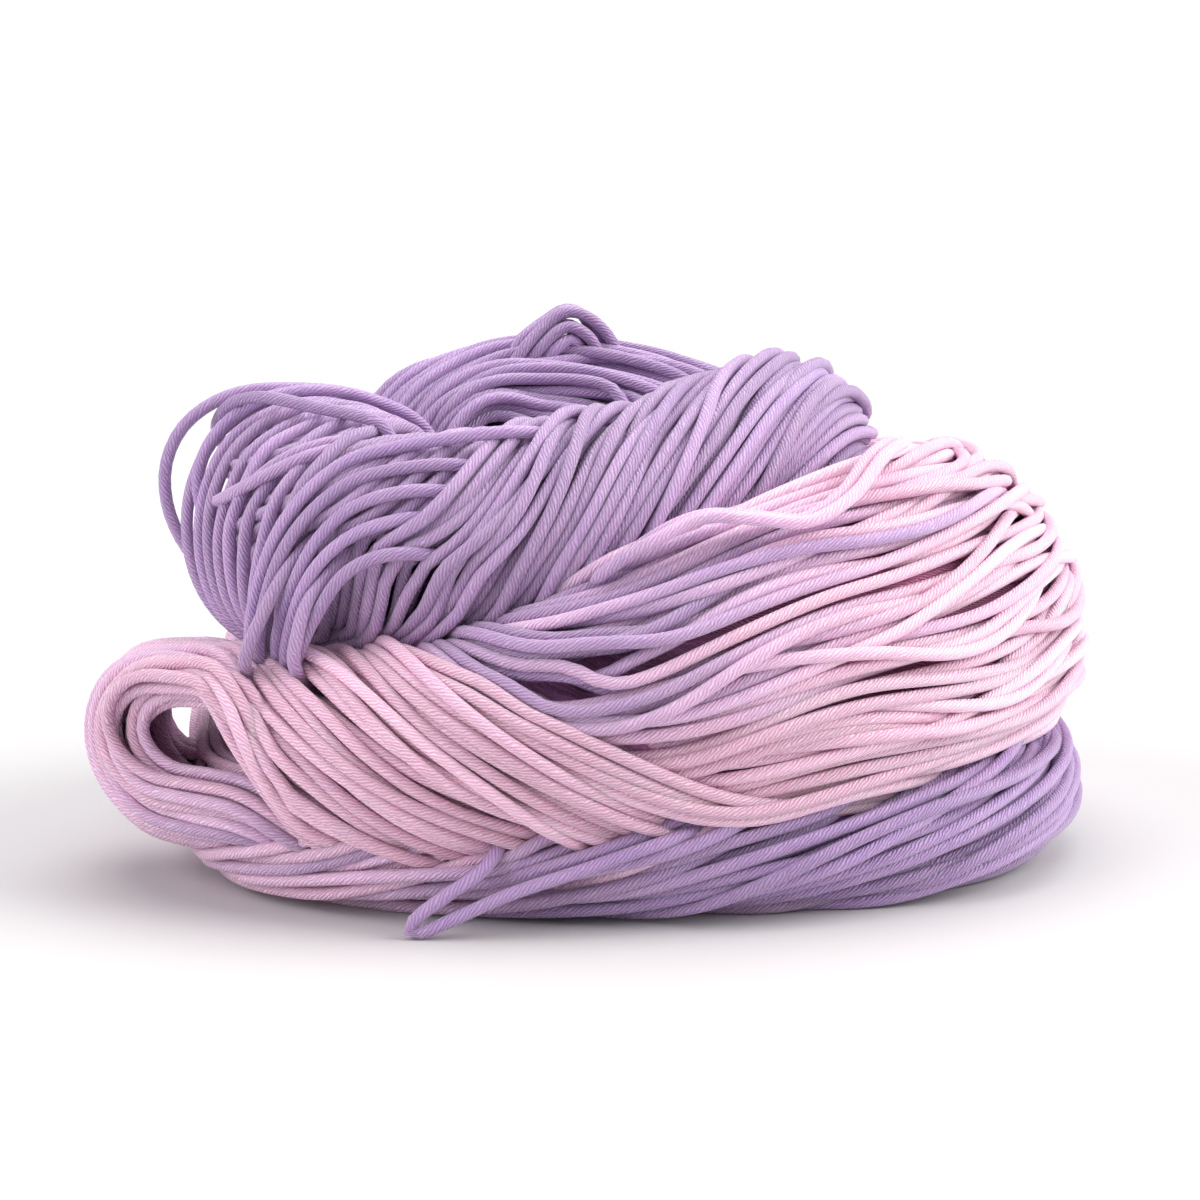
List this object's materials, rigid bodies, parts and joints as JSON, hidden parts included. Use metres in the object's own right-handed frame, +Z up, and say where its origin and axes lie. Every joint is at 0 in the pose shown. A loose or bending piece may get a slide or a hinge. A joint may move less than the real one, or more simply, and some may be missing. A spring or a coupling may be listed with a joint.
{
  "type": "yarn skein",
  "caption": "Hand-dyed yarn skein heaped in loose stacked coils, twisted locks of smooth yarn running slanting over it, resting flat on its bottom turn.",
  "frame": {"origin": "centre of the heap's footprint on the table top", "axes": "+Z up from the table, +X along the heap's length to the right as seen from its front, the front facing -Y"},
  "size_m": [0.1471, 0.1267, 0.0763],
  "materials": {
    "yarn": "soft smooth plied yarn, dyed from lavender to pale pink"
  },
  "bodies": {
    "root": {"skein": "yarn"}
  },
  "joints": []
}
